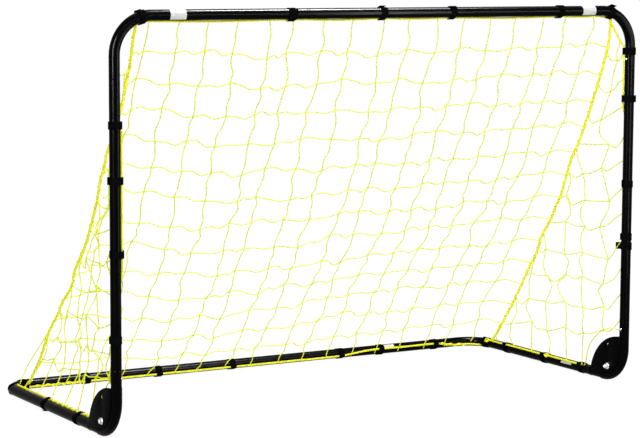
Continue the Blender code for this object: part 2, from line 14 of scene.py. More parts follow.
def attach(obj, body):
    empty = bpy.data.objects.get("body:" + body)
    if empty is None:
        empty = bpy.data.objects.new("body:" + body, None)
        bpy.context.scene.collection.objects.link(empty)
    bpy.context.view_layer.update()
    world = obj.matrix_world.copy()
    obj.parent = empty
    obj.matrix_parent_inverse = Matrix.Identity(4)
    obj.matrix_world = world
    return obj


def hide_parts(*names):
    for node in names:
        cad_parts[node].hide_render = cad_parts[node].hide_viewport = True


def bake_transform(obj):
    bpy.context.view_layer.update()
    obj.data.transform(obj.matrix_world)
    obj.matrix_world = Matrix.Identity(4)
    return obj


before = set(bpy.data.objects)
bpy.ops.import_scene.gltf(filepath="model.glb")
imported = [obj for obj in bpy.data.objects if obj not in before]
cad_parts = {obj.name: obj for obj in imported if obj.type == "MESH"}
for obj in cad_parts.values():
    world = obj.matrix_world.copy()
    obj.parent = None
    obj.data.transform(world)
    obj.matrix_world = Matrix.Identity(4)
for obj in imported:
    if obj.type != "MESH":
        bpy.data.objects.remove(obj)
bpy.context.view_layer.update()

UP = Vector((0, 0, 1))
BACK = Vector((0, 1, 0))
RIGHT = Vector((1, 0, 0))
SIDES = ((-1, "left"), (1, "right"))

# Where the tubes run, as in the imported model
half_width = 0.8986
front_y = -0.4191
rear_y = 0.4191
top_z = 1.2031
foot_z = 0.0156
base_z = 0.0179
corner_joint_z = 1.025
foot_joint_z = 0.205
crossbar_joint_x = 0.280
rear_joint_x = 0.200
rail_front_y = -0.3096
top_bend = 0.112
rear_bend = 0.090
foot_bend = 0.100
foot_tail = 0.008

# Tubes
tube_radius = 0.0159
tube_sides = 44
bore_radius = 0.0144
lip = 0.0007
lip_run = 0.003
bead_height = 0.0012
bead_width = 0.009
bead_setback = 0.006
spigot_radius = 0.0141
spigot_bore = 0.0126
spigot_length = 0.050
spigot_root = 0.0015
spigot_chamfer = 0.0005
spigot_chamfer_run = 0.001

# Hinges
pivot_y = -0.3581
pivot_z = 0.051
plate_inner = 0.0162
plate_thickness = 0.0025
plate_outer = plate_inner + plate_thickness
fan_radius = 0.155
lug_half_thickness = 0.003
lug_grip = 0.040
boss_radius = 0.0064
ear_radius = 0.0095
lock_distance = 0.070
lock_radius = 0.005
shank_radius = 0.004
bolt_bore = shank_radius + 0.0004
washer_radius = 0.010
washer_thickness = 0.0016
head_width = 0.013
head_height = 0.0053
flange_radius = 0.0067
nut_height = 0.0068
bolt_tail = 0.006
thread_pitch = 0.00125
hinge_gap = 0.0003

# Snap buttons
button_radius = 0.0038
button_proud = 0.0023
button_crown = 0.0016
button_base = 0.0108
button_flush = 0.0156
button_x = 0.305
rear_button_x = 0.225
corner_button_z = 1.050
foot_button_z = 0.180

# Straps: places along the crossbar, the uprights, the rails and the rear bar
crossbar_straps = (-0.815, -0.335, -0.026, 0.221, 0.620, 0.817)
upright_straps = {"left": (0.292, 0.535, 0.742, 0.898), "right": (0.480, 0.650, 0.923, 1.074, 0.450)}
rail_straps = {"left": (-0.159, 0.081), "right": (-0.202, 0.0075, 0.230)}
rear_straps = (-0.843, -0.622, -0.366, -0.094, 0.325, 0.708)
extra_rear_strap = 0.485
strap_width = 0.0215
strap_thickness = 0.0010
strap_points = 48
lowest_strap_z = 0.0002

# Ropes and net
rope_radius = 0.0035
rope_away = 0.0197
rope_lay = 0.026
strand_share = 0.58
rope_step = rope_lay / 8
seam_radius = 0.0044
cord_radius = 0.0018
lace_pitch = 0.036
knot_radius = 0.0024
knot_cord = 0.0015
net_rows = 14
side_columns = (0.074, 0.188, 0.290, 0.390, 0.490, 0.590, 0.700)
side_rows = 12
side_top_z = 1.02
side_row_drop = 0.086
mesh_length = 0.104
foot_cord_reach = 0.184
side_net_reach = 0.185
side_net_low = 0.050
rope_end_y = -0.228
rope_end_z = 0.172
top_columns = (-0.827, -0.787, -0.689, -0.598, -0.502, -0.401, -0.324, -0.216, -0.121, -0.012,
               0.076, 0.175, 0.274, 0.369, 0.463, 0.569, 0.655, 0.758, 0.828)
top_rope = Vector((0, front_y + rope_away * 0.5, top_z - rope_away * 0.866))
low_rope = Vector((0, rear_y - rope_away * 0.94, base_z - rope_away * 0.34))
slope = low_rope - top_rope
sag_way = Vector((0, -0.816, -0.578))
# The laced edges, from the crossbar down to the base: points chosen along each rope in the photo
left_seam = ((-0.827, -0.409, 1.178), (-0.820, -0.365, 1.099), (-0.818, -0.329, 1.022),
             (-0.816, -0.272, 0.913), (-0.825, -0.205, 0.798), (-0.823, -0.156, 0.710),
             (-0.822, -0.110, 0.629), (-0.817, -0.074, 0.575), (-0.820, -0.029, 0.507),
             (-0.823, 0.036, 0.427), (-0.815, 0.088, 0.369), (-0.821, 0.150, 0.301),
             (-0.826, 0.231, 0.213), (-0.823, 0.300, 0.131), (-0.824, 0.348, 0.073), (-0.830, 0.390, 0.024))
right_seam = ((0.828, -0.409, 1.178), (0.840, -0.380, 1.086), (0.843, -0.330, 0.975),
              (0.847, -0.286, 0.887), (0.848, -0.238, 0.797), (0.847, -0.190, 0.717),
              (0.858, -0.143, 0.646), (0.869, -0.108, 0.596), (0.875, -0.062, 0.536),
              (0.876, 0.000, 0.446), (0.878, 0.070, 0.339), (0.879, 0.138, 0.241),
              (0.879, 0.208, 0.148), (0.881, 0.266, 0.076), (0.884, 0.310, 0.034))
seams = {-1: left_seam, 1: right_seam}
fold_start = top_rope + 0.07 * slope
fold_end = top_rope + 0.95 * slope


def clamp(value):
    return min(1.0, max(0.0, value))


def ease(value):
    value = clamp(value)
    return value * value * (3 - 2 * value)


def between(low, high, share):
    return low + (high - low) * share


def stepped(value, stop, step):
    """Numbers from a value up or down to just before stop."""
    while (stop - value) * step > 0:
        yield value
        value += step


def around(u, v, angle):
    """The direction at an angle from u towards v."""
    return math.cos(angle) * u + math.sin(angle) * v


def quarter_turn(steps):
    """Angles from 0 to a right angle."""
    return [0.5 * math.pi * i / steps for i in range(steps + 1)]


# Materials

def new_material(name, colour, roughness, metallic=0.0, gloss=0.5):
    material = bpy.data.materials.new(name)
    material.use_nodes = True
    shader = material.node_tree.nodes["Principled BSDF"]
    shader.inputs["Base Color"].default_value = (*colour, 1.0)
    shader.inputs["Roughness"].default_value = roughness
    shader.inputs["Metallic"].default_value = metallic
    shader.inputs["Specular IOR Level"].default_value = gloss
    return material


def noise_of(material, scale, detail, stretch=(1, 1, 1)):
    """A noise over the object, from 0 to 1."""
    nodes, links = material.node_tree.nodes, material.node_tree.links
    place = nodes.new("ShaderNodeTexCoord")
    mapping = nodes.new("ShaderNodeMapping")
    mapping.inputs["Scale"].default_value = stretch
    links.new(place.outputs["Object"], mapping.inputs["Vector"])
    texture = nodes.new("ShaderNodeTexNoise")
    texture.inputs["Scale"].default_value = scale
    texture.inputs["Detail"].default_value = detail
    links.new(mapping.outputs["Vector"], texture.inputs["Vector"])
    return texture.outputs["Fac"]


def vary(material, socket, source, *stops):
    """Runs the shader's socket between two stops, each a position of the source and a colour."""
    nodes, links = material.node_tree.nodes, material.node_tree.links
    node = nodes.new("ShaderNodeValToRGB")
    for element, (position, colour) in zip(node.color_ramp.elements, stops):
        element.position = position
        element.color = (*colour, 1.0)
    links.new(source, node.inputs["Fac"])
    links.new(node.outputs["Color"], nodes["Principled BSDF"].inputs[socket])


def bump(material, source, strength, distance):
    nodes, links = material.node_tree.nodes, material.node_tree.links
    node = nodes.new("ShaderNodeBump")
    node.inputs["Strength"].default_value = strength
    node.inputs["Distance"].default_value = distance
    links.new(source, node.inputs["Height"])
    links.new(node.outputs["Normal"], nodes["Principled BSDF"].inputs["Normal"])


def frame_paint():
    material = new_material("frame_paint", (0.0015, 0.0015, 0.0017), 0.2, gloss=0.012)
    vary(material, "Roughness", noise_of(material, 7, 3), (0.3, (0.17,) * 3), (0.75, (0.27,) * 3))
    bump(material, noise_of(material, 420, 2), 0.10, 0.0004)
    return material


def hinge_paint():
    material = new_material("hinge_paint", (0.002, 0.002, 0.0022), 0.42, gloss=0.004)
    bump(material, noise_of(material, 650, 3), 0.18, 0.0005)
    return material


def zinc_plate():
    material = new_material("zinc", (0.66, 0.67, 0.68), 0.3, 1.0)
    vary(material, "Base Color", noise_of(material, 260, 4),
         (0.3, (0.50, 0.51, 0.53)), (0.7, (0.74, 0.75, 0.75)))
    bump(material, noise_of(material, 900, 2), 0.12, 0.0003)
    return material


def rope_fibre():
    material = new_material("rope_fibre", (1.0, 0.98, 0.025), 0.6, gloss=0.04)
    vary(material, "Base Color", noise_of(material, 120, 3),
         (0.25, (1.0, 0.96, 0.015)), (0.7, (1.0, 1.0, 0.035)))
    bump(material, noise_of(material, 1500, 3, (1, 1, 0.5)), 0.25, 0.0004)
    return material


def webbing():
    material = new_material("strap_webbing", (0.004, 0.004, 0.0045), 0.7, gloss=0.0)
    fuzz = noise_of(material, 1100, 4)
    vary(material, "Base Color", fuzz, (0.4, (0.0015,) * 3), (0.8, (0.012, 0.012, 0.013)))
    bump(material, fuzz, 0.8, 0.0014)
    return material


SLOTS = {"frame_paint": frame_paint(), "hinge_paint": hinge_paint(), "zinc": zinc_plate(),
         "button_steel": new_material("button_steel", (0.72, 0.72, 0.73), 0.18, 1.0),
         "rope_fibre": rope_fibre(),
         "net_cord": new_material("net_cord", (0.92, 1.0, 0.035), 0.6, gloss=0.04),
         "strap_webbing": webbing(),
         "label_film": new_material("label_film", (0.64, 0.64, 0.60), 0.6, gloss=0.1)}


# Shapes

def circle(centre, u, v, radius, sides, shift=0.0):
    """Points round a centre, from u towards v. shift turns them on by a share of a side."""
    return [centre + radius * around(u, v, 2 * math.pi * (j + shift) / sides) for j in range(sides)]


def turned(profile, place, sides, axes):
    """Rings from a profile of (radius, height) points, turned about the third axis."""
    u, v, along = axes
    return [circle(place + height * along, u, v, radius, sides, 0.5) for radius, height in profile]


class Shape:
    """Points and faces of one mesh, gathered from several parts."""

    def __init__(self):
        self.points = []
        self.faces = []

    def loops(self, rings, caps=False, closed=False):
        """Joins rings of points, each with the same number of points."""
        count = len(rings[0])
        base = len(self.points)
        for ring in rings:
            self.points.extend(ring)
        for i in range(len(rings) if closed else len(rings) - 1):
            a = base + i * count
            b = base + (i + 1) % len(rings) * count
            for j in range(count):
                k = (j + 1) % count
                self.faces.append((a + j, a + k, b + k, b + j))
        if caps:
            last = base + (len(rings) - 1) * count
            self.faces.append(tuple(base + j for j in reversed(range(count))))
            self.faces.append(tuple(last + j for j in range(count)))

    def sweep(self, route, radius=cord_radius, sides=6):
        """A round cord along route."""
        self.loops([circle(place, u, v, radius, sides) for place, u, v in carried(route)], caps=True)

    def rope(self, route, radius=rope_radius):
        """A three-strand laid rope along route, whose points lie about an eighth of the lay apart."""
        frames = carried(route)
        runs = runs_along(route)
        for number in range(3):
            path = []
            for (place, u, v), run in zip(frames, runs):
                way = around(u, v, 2 * math.pi * (run / rope_lay + number / 3))
                path.append(place + (1 - strand_share) * radius * way)
            self.sweep(path, strand_share * radius)

    def lace(self, route, reach, seed):
        """A net cord wound loosely round a rope."""
        lacing = []
        for (place, u, v), run in zip(carried(route), runs_along(route)):
            away = reach * (1 + 0.35 * noise.noise(Vector((run * 25, seed, 0))))
            lacing.append(place + away * around(u, v, 2 * math.pi * run / lace_pitch))
        self.sweep(lacing, cord_radius, 5)

    def ring(self, centre, axis, radius, cord, steps):
        """A closed ring of cord round an axis."""
        u = axis.orthogonal().normalized()
        v = axis.cross(u)
        rings = []
        for out in circle(Vector((0, 0, 0)), u, v, 1.0, steps):
            rings.append(circle(centre + radius * out, out, axis, cord, 6))
        self.loops(rings, closed=True)

    def knot(self, place, along, dice):
        """A small knot: two turns of cord round a crossing."""
        for number in (-1, 1):
            tilt = Matrix.Rotation(dice.uniform(0.3, 1.0) * number, 3, RIGHT)
            axis = (tilt @ along).normalized()
            self.ring(place + axis * 0.0006 * number, axis, knot_radius, knot_cord, 9)


def carried(route):
    """At each point of a route: the point, and two directions square to the route that don't twist."""
    frames = []
    across = None
    last = len(route) - 1
    for i, place in enumerate(route):
        along = (route[min(i + 1, last)] - route[max(i - 1, 0)]).normalized()
        if across is None:
            across = along.orthogonal()
        across = across - across.dot(along) * along
        if across.length < 1e-9:
            across = along.orthogonal()
        across = across.normalized()
        frames.append((place, across, along.cross(across)))
    return frames


def runs_along(route):
    """The length of a route up to each of its points."""
    runs = [0.0]
    for a, b in zip(route, route[1:]):
        runs.append(runs[-1] + (b - a).length)
    return runs


def spread_along(runs, count):
    """Where a route's equal steps fall: the point before each, and the share of the way to the next."""
    places = []
    index = 0
    for i in range(count + 1):
        goal = runs[-1] * i / count
        while index < len(runs) - 2 and runs[index + 1] < goal:
            index += 1
        part = runs[index + 1] - runs[index]
        places.append((index, min(1.0, (goal - runs[index]) / part if part else 0)))
    return places


def evened(route, step):
    """The same route with its points about step apart."""
    runs = runs_along(route)
    places = spread_along(runs, max(2, round(runs[-1] / step)))
    return [route[i].lerp(route[i + 1], share) for i, share in places]


def smoothed(points, first, last, steps):
    """A smooth curve through the points, from the first one named up to just before the last."""
    fine = []
    end = len(points) - 1
    for i in range(first, last):
        a, b, c, d = points[max(i - 1, 0)], points[i], points[i + 1], points[min(i + 2, end)]
        for k in range(steps):
            t = k / steps
            fine.append(0.5 * (2 * b + (c - a) * t + (2 * a - 5 * b + 4 * c - d) * t * t
                               + (3 * b - a - 3 * c + d) * t ** 3))
    return fine


def curve_through(points, step):
    """A smooth curve through the points, with its own points about step apart."""
    points = [Vector(p) for p in points]
    return evened(smoothed(points, 0, len(points) - 1, 16) + [points[-1]], step)


def mesh_of(name, shape):
    mesh = bpy.data.meshes.new(name)
    mesh.from_pydata([tuple(p) for p in shape.points], [], shape.faces)
    bm = bmesh.new()
    bm.from_mesh(mesh)
    bmesh.ops.recalc_face_normals(bm, faces=bm.faces)
    bm.to_mesh(mesh)
    bm.free()
    return mesh


def add_object(name, data):
    thing = bpy.data.objects.new(name, data)
    bpy.context.scene.collection.objects.link(thing)
    return thing


def add_part(name, mesh, slot, body=None, nodes=(), sharp=40):
    """The mesh as a piece on its body, in the place of its nodes. Edges over the sharp angle stay sharp."""
    mesh.shade_smooth()
    mesh.set_sharp_from_angle(angle=math.radians(sharp))
    mesh.materials.clear()
    mesh.materials.append(SLOTS[slot])
    thing = add_object(name, mesh)
    if body:
        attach(thing, body)
    if nodes:
        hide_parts(*nodes)
    return thing


def add_shape(name, shape, slot, body=None, nodes=(), sharp=40):
    return add_part(name, mesh_of(name, shape), slot, body, nodes, sharp)


def add_folding(name, shape, slot, nodes=(), start=fold_start, end=fold_end):
    """A soft piece on no body, with its place baked into its mesh."""
    thing = add_shape(name, shape, slot, None, nodes, 60)
    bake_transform(thing)
    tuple(start)
    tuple(end)


def with_modifiers(name, mesh, cutters=(), bevel=0.0, added=()):
    """The mesh with other meshes joined to it, holes cut by others and its edges rounded."""
    thing = add_object(name + "_blank", mesh)
    tools = []
    for operation, others in (("UNION", added), ("DIFFERENCE", cutters)):
        for other in others:
            tools.append(add_object(name + "_tool", other))
            modifier = thing.modifiers.new("cut", "BOOLEAN")
            modifier.operation = operation
            modifier.object = tools[-1]
            modifier.solver = "EXACT"
    if bevel:
        modifier = thing.modifiers.new("bevel", "BEVEL")
        modifier.width = bevel
        modifier.segments = 2
        modifier.limit_method = "ANGLE"
        modifier.angle_limit = math.radians(40)
    bpy.context.view_layer.update()
    graph = bpy.context.evaluated_depsgraph_get()
    made = bpy.data.meshes.new_from_object(thing.evaluated_get(graph))
    for used in [thing] + tools:
        bpy.data.objects.remove(used)
    made.name = name
    return made


def bar_mesh(start, way, radius, length, sides=32):
    """A solid round bar from start along way, for holes and for the lug's boss."""
    shape = Shape()
    across = way.orthogonal().normalized()
    other = way.cross(across)
    shape.loops([circle(end, across, other, radius, sides, 0.5) for end in (start, start + way * length)],
                caps=True)
    return mesh_of("bar", shape)


def prism_mesh(name, outline, x, half_thickness):
    """A plate square to X with an outline of (y, z) points."""
    shape = Shape()
    rings = []
    for shift in (-half_thickness, half_thickness):
        rings.append([Vector((x + shift, y, z)) for y, z in outline])
    shape.loops(rings, caps=True)
    return mesh_of(name, shape)


# Tubes

def bend_points(corner, into, out, radius):
    """Points and directions of a quarter bend at a corner."""
    centre = corner + radius * (out - into)
    points = []
    for angle in quarter_turn(22):
        place = centre + radius * around(-out, into, angle)
        points.append((place, around(into, out, angle).normalized()))
    return points


def tube(name, route, across, holes, spigots, bead_at):
    """A hollow tube with rounded lips. Spigots are swaged ends that slide into the next tubes."""
    (first, first_way), (last, last_way) = route[0], route[-1]
    lips = ((0, tube_radius - lip), (0.3 * lip, tube_radius - 0.3 * lip), (lip, tube_radius),
            (lip_run, tube_radius))
    outer = [(first + run * first_way, first_way, radius) for run, radius in lips]
    if bead_at is not None:
        bead = [(-lip_run, 0)]
        bead += [(bead_width * i / 12, bead_height * math.sin(math.pi * i / 12) ** 1.5) for i in range(13)]
        bead += [(bead_width + lip_run, 0)]
        outer += [(first + first_way * (bead_at + run), first_way, tube_radius + rise) for run, rise in bead]
    outer += [(place, way, tube_radius) for place, way in route[1:-1]]
    outer += [(last - run * last_way, last_way, radius) for run, radius in lips[::-1]]
    inner = [(place, way, bore_radius) for place, way in route]
    if spigots:
        for end, way, out in ((first, first_way, -1), (last, last_way, 1)):
            tip = end + out * spigot_length * way
            root = end - out * spigot_root * way
            shell = [(end, way, spigot_radius), (tip - out * spigot_chamfer_run * way, way, spigot_radius),
                     (tip, way, spigot_radius - spigot_chamfer)]
            hollow = [(root, way, bore_radius), (root, way, spigot_bore), (tip, way, spigot_bore)]
            if out < 0:
                outer = shell[::-1] + outer
                inner = hollow[::-1] + inner[1:]
            else:
                outer += shell
                inner = inner[:-1] + hollow
    rings = []
    for place, way, radius in outer + inner[::-1]:
        square = (across - across.dot(way) * way).normalized()
        rings.append(circle(place, square, way.cross(square), radius, tube_sides, 0.5))
    shape = Shape()
    shape.loops(rings, closed=True)
    return with_modifiers(name, mesh_of(name, shape), holes)


def build_tube(node, body, route, across, holes, spigots=False, bead_at=None):
    name = node + "_tube"
    add_part(name, tube(name, route, across, holes, spigots, bead_at), "frame_paint", body, [node])


def button_hole(place, way):
    return bar_mesh(place + way * 0.004, way, button_radius + 0.0003, 0.02)


def build_tubes():
    top = Vector((0, front_y, top_z))
    rear = Vector((0, rear_y, base_z))
    for node, body, middle, reach, button, across in (
            ("crossbar", "front_frame", top, crossbar_joint_x, button_x, BACK),
            ("rear_bar", "base_frame", rear, rear_joint_x, rear_button_x, UP)):
        route = [(middle - reach * RIGHT, RIGHT), (middle + reach * RIGHT, RIGHT)]
        holes = [button_hole(middle + side * button * RIGHT, BACK) for side, label in SIDES]
        build_tube(node, body, route, across, holes, True)
    for side, label in SIDES:
        out = side * RIGHT
        post = Vector((side * half_width, front_y, 0))
        corner_joint = (post + corner_joint_z * UP, -UP)
        foot_joint = (post + foot_joint_z * UP, -UP)
        top_hole = button_hole(top + button_x * out, BACK)
        corner_hole = button_hole(post + corner_button_z * UP, -out)
        foot_hole = button_hole(post + foot_button_z * UP, -out)
        rear_hole = button_hole(rear + rear_button_x * out, BACK)

        bend = bend_points(post + top_z * UP, out, -UP, top_bend)
        route = [(top + crossbar_joint_x * out, out)] + bend + [corner_joint]
        build_tube(f"top_corner_{label}", "front_frame", route, BACK, [top_hole, corner_hole])

        build_tube(f"upright_{label}", "front_frame", [corner_joint, foot_joint], BACK,
                   [corner_hole, foot_hole], True)

        bend = bend_points(post + foot_z * UP, -UP, BACK, foot_bend)
        tail = post + Vector((0, foot_bend + foot_tail, foot_z))
        build_tube(f"foot_elbow_{label}", "front_frame", [foot_joint] + bend + [(tail, BACK)], RIGHT,
                   [foot_hole])

        rail = Vector((side * half_width, 0, base_z))
        bend = bend_points(rail + rear_y * BACK, BACK, -out, rear_bend)
        route = [(rail + rail_front_y * BACK, BACK)] + bend + [(rear + rear_joint_x * out, -out)]
        slot_front = rail_front_y - 0.01
        slot_back = rail_front_y + lug_grip + hinge_gap
        slot_top = base_z + 0.03
        slot = prism_mesh("slot", [(slot_front, base_z), (slot_back, base_z), (slot_back, slot_top),
                                   (slot_front, slot_top)], rail.x, lug_half_thickness + hinge_gap)
        bead_at = front_y + fan_radius + bead_setback - rail_front_y
        build_tube(f"side_rail_{label}", "base_frame", route, UP, [rear_hole, slot], bead_at=bead_at)


# Hinges

def arc(centre, radius, start, stop, steps):
    """Points (y, z) on an arc, angles in degrees from +Y towards +Z."""
    points = []
    for i in range(steps + 1):
        angle = math.radians(start + (stop - start) * i / steps)
        points.append((centre[0] + radius * math.cos(angle), centre[1] + radius * math.sin(angle)))
    return points


def plate_outline():
    centre = (front_y, 0.0003)
    start = math.degrees(math.asin((foot_z - centre[1]) / fan_radius))
    outline = arc(centre, fan_radius, start, 90, 48)
    return outline + arc((front_y + foot_bend, foot_z + foot_bend), foot_bend, 180, 270, 28)


def lug_outline():
    ear = (pivot_y + lock_distance, pivot_z)
    low = base_z - 0.0135
    front = rail_front_y + 0.0015
    back = rail_front_y + lug_grip
    outline = arc((pivot_y, pivot_z), boss_radius, 255, 100, 20)
    outline += arc(ear, ear_radius, 100, -25, 20)
    return outline + [(back, base_z), (back, low), (front, low), (front, base_z + tube_radius)]


def hexagon_rings(low, high, chamfer, place, axes):
    """A hexagonal head or nut whose ends are turned down to a circle."""
    sides = 36
    u, v, along = axes
    flat = head_width / 2
    corner = flat * 1.1547
    rings = []
    for height, cut_back in ((low, chamfer), (low + 0.5 * chamfer, 0.0), (high - 0.5 * chamfer, 0.0),
                             (high, chamfer)):
        ring = []
        for j in range(sides):
            angle = 2 * math.pi * j / sides
            near = (angle + math.pi / 6) % (math.pi / 3) - math.pi / 6
            reach = min(flat / math.cos(near), corner - cut_back)
            ring.append(place + height * along + reach * around(u, v, angle))
        rings.append(ring)
    return rings


def pin_hole(place, radius, sides=40):
    return bar_mesh(place - RIGHT * 0.05, RIGHT, radius, 0.1, sides)


def build_hinge(side, label):
    x = side * half_width
    pivot = Vector((x, pivot_y, pivot_z))
    axes = (BACK, UP, side * RIGHT)
    for outward, place in ((1, "outer"), (-1, "inner")):
        node = f"hinge_plate_{label}_{place}"
        centre = x + side * outward * (plate_inner + plate_thickness / 2)
        holes = [pin_hole(pivot, bolt_bore), pin_hole(pivot + UP * lock_distance, lock_radius)]
        blank = prism_mesh(node, plate_outline(), centre, plate_thickness / 2)
        sheet = with_modifiers(node + "_sheet", blank, holes, 0.0005)
        add_part(node + "_sheet", sheet, "hinge_paint", "front_frame", [node], 30)

        node = f"pivot_washer_{label}_{place}"
        low = plate_outer + hinge_gap
        high = low + washer_thickness
        rim = 0.0004
        profile = [(bolt_bore, low), (washer_radius - rim, low), (washer_radius, low + rim),
                   (washer_radius, high - rim), (washer_radius - rim, high), (bolt_bore, high)]
        shape = Shape()
        shape.loops(turned(profile, pivot, 40, (BACK, UP, side * outward * RIGHT)), closed=True)
        add_shape(node + "_ring", shape, "zinc", "front_frame", [node])

    # The bolt: a flange, a hexagonal head with a dished top, and a shank with a thread
    seat = plate_outer + 2 * hinge_gap + washer_thickness
    top = seat + head_height
    end = -(seat + nut_height + bolt_tail)
    centre_line = 0.0001
    shape = Shape()
    flange = [(centre_line, seat), (flange_radius, seat), (flange_radius, seat + 0.0006),
              (centre_line, seat + 0.0006)]
    shape.loops(turned(flange, pivot, 36, axes), caps=True)
    shape.loops(hexagon_rings(seat + 0.0004, top, 0.0008, pivot, axes), caps=True)
    dish = [(0.0052, top - 0.0002), (0.0050, top + 0.00025), (centre_line, top + 0.0005)]
    shape.loops(turned(dish, pivot, 36, axes), caps=True)
    profile = [(centre_line, end), (shank_radius - 0.0012, end)]
    for i in range(40):
        height = end + 0.0006 + thread_pitch * i / 2
        if height > -plate_inner:
            break
        profile.append((shank_radius - (0.0006 if i % 2 else 0.00005), height))
    profile += [(shank_radius, 0.001 - plate_inner), (shank_radius, seat + 0.001),
                (centre_line, seat + 0.001)]
    shape.loops(turned(profile, pivot, 28, axes), caps=True)
    add_shape(f"pivot_bolt_{label}_zinc", shape, "zinc", "front_frame", [f"pivot_bolt_{label}"], 30)

    low = -(seat + hinge_gap)
    shape = Shape()
    shape.loops(hexagon_rings(low - nut_height, low, 0.0007, pivot, axes), caps=True)
    nut = with_modifiers("nut", mesh_of("nut", shape), [pin_hole(pivot, shank_radius + hinge_gap, 36)])
    add_part(f"pivot_nut_{label}_zinc", nut, "zinc", "front_frame", [f"pivot_nut_{label}"], 30)

    name = f"hinge_lug_{label}_web"
    web = prism_mesh(name, lug_outline(), x, lug_half_thickness)
    boss = bar_mesh(pivot - RIGHT * tube_radius, RIGHT, boss_radius, 2 * tube_radius, 40)
    holes = [pin_hole(pivot, bolt_bore), pin_hole(pivot + BACK * lock_distance, lock_radius)]
    lug = with_modifiers(name, web, holes, 0.0004, [boss])
    add_part(name, lug, "hinge_paint", "base_frame", [f"hinge_lug_{label}"], 30)


# Snap buttons

def build_buttons():
    """Each button is a domed pin on a leaf spring: a strip bent back on itself inside the spigot."""
    places = []
    for side, label in SIDES:
        x = side * half_width
        out = side * RIGHT
        places += [(f"snap_button_crossbar_{label}", Vector((side * button_x, front_y, top_z)), BACK, -out),
                   (f"snap_button_corner_{label}", Vector((x, front_y, corner_button_z)), -out, -UP),
                   (f"snap_button_foot_{label}", Vector((x, front_y, foot_button_z)), -out, UP),
                   (f"snap_button_rear_{label}", Vector((side * rear_button_x, rear_y, base_z)), BACK, -out)]
    spring = ((-0.0048, 0.0114), (0.0048, 0.0114), (0.0330, 0.0018), (0.0336, 0.0), (0.0330, -0.0018),
              (0.0032, -0.0070))
    strip = ((-0.004, 0.0004), (0.004, 0.0004), (0.004, -0.0004), (-0.004, -0.0004))
    shoulder = button_flush + button_proud - button_crown
    profile = [(0.0001, button_base), (button_radius, button_base), (button_radius, shoulder)]
    profile += [(button_radius * math.cos(angle), shoulder + button_crown * math.sin(angle))
                for angle in quarter_turn(8)[1:-1]]
    profile.append((0.0001, shoulder + button_crown))
    for name, place, outward, along in places:
        across = outward.cross(along)
        shape = Shape()
        shape.loops(turned(profile, place, 32, (across, along, outward)), caps=True)
        rings = []
        for run, rise in spring:
            rings.append([place + a * across + run * along + (rise + b) * outward for a, b in strip])
        shape.loops(rings, caps=True)
        add_shape(name + "_dome", shape, "button_steel", name, [name], 35)


# Straps

def band_outline():
    """Points and outward directions (u, v) once round tube and rope, with u towards the rope."""
    tube_reach = tube_radius + 0.0003
    rope_reach = rope_radius + 0.0004
    turn_at = math.acos((tube_reach - rope_reach) / rope_away)
    bases = []
    ways = []
    for i in range(721):
        angle = -math.pi + 2 * math.pi * i / 720
        way = Vector((math.cos(angle), math.sin(angle)))
        bases.append(Vector((rope_away, 0)) + rope_reach * way if abs(angle) < turn_at else tube_reach * way)
        ways.append(way)
    outline = []
    for i, share in spread_along(runs_along(bases), strap_points)[:-1]:
        outline.append((bases[i].lerp(bases[i + 1], share), ways[i].lerp(ways[i + 1], share).normalized()))
    return outline


OUTLINE = band_outline()


def build_strap(node, place, along, towards_rope, body, seed, start, lap=14, tail=2, skew=0.0, in_cad=True):
    """A hook-and-loop band: once round, then a lapped end, and a free tail that bends away."""
    dice = random.Random(seed)
    u = (towards_rope - towards_rope.dot(along) * along).normalized()
    v = along.cross(u)
    skew += dice.uniform(-0.0022, 0.0022)
    half = strap_width * dice.uniform(0.96, 1.04) / 2
    shift = dice.uniform(0, 40)
    spots = []
    total = strap_points + lap
    for i in range(total):
        base, way = OUTLINE[(start + i) % strap_points]
        layer = ease((i - strap_points + 4) / 4) * strap_thickness * 1.15
        lift = 0.0012 * ease((i - total + 5) / 5)
        puff = 0.0005 * (1 + noise.noise(Vector((shift, 0.35 * i, 0))))
        normal = way.x * u + way.y * v
        spots.append((place + (base.x * u + base.y * v) + normal * (layer + lift + puff), normal, i))
    last, normal, _ = spots[-1]
    way = (last - spots[-2][0]).normalized()
    for i in range(1, tail + 1):
        bend = Matrix.Rotation(dice.uniform(-0.02, 0.10), 3, along)
        way = (bend @ way).normalized()
        normal = (bend @ normal).normalized()
        last = last + way * 0.0028
        spots.append((last, normal, total + i))
    across = (-1, -0.97, -0.5, 0, 0.5, 0.97, 1)
    rings = []
    for spot, normal, i in spots:
        drift = skew * (2 * i / total - 1)
        ring = []
        for outside, shares in ((False, across), (True, across[::-1])):
            for share in shares:
                ripple = 0.00035 * noise.noise(Vector((shift + 3, 0.5 * i, 2.2 * share)))
                inset = 0.25 if abs(share) == 1 else 0.0
                depth = strap_thickness * (1 - inset if outside else inset)
                point = spot + along * (share * half + drift) + normal * (depth + ripple)
                point.z = max(point.z, lowest_strap_z)
                ring.append(point)
        rings.append(ring)
    shape = Shape()
    shape.loops(rings, caps=True)
    add_shape(node + "_band", shape, "strap_webbing", body, [node] if in_cad else (), 60)


def bend_place(x, half, bend):
    """Height lost, and angle turned, at a place along a bar that bends at its ends."""
    over = abs(x) - (half - bend)
    if over <= 0:
        return 0.0, 0.0
    angle = math.asin(min(1.0, over / bend))
    return bend * (1 - math.cos(angle)), math.copysign(angle, x)


def rear_turn(x):
    """How far below level the rope lies in front of the rear bar, in degrees, at a place along it."""
    return 20 - 34 * ease((x - 0.30) / 0.15) * ease((0.80 - x) / 0.10)


def rear_rope_way(x):
    return around(-BACK, -UP, math.radians(rear_turn(x)))


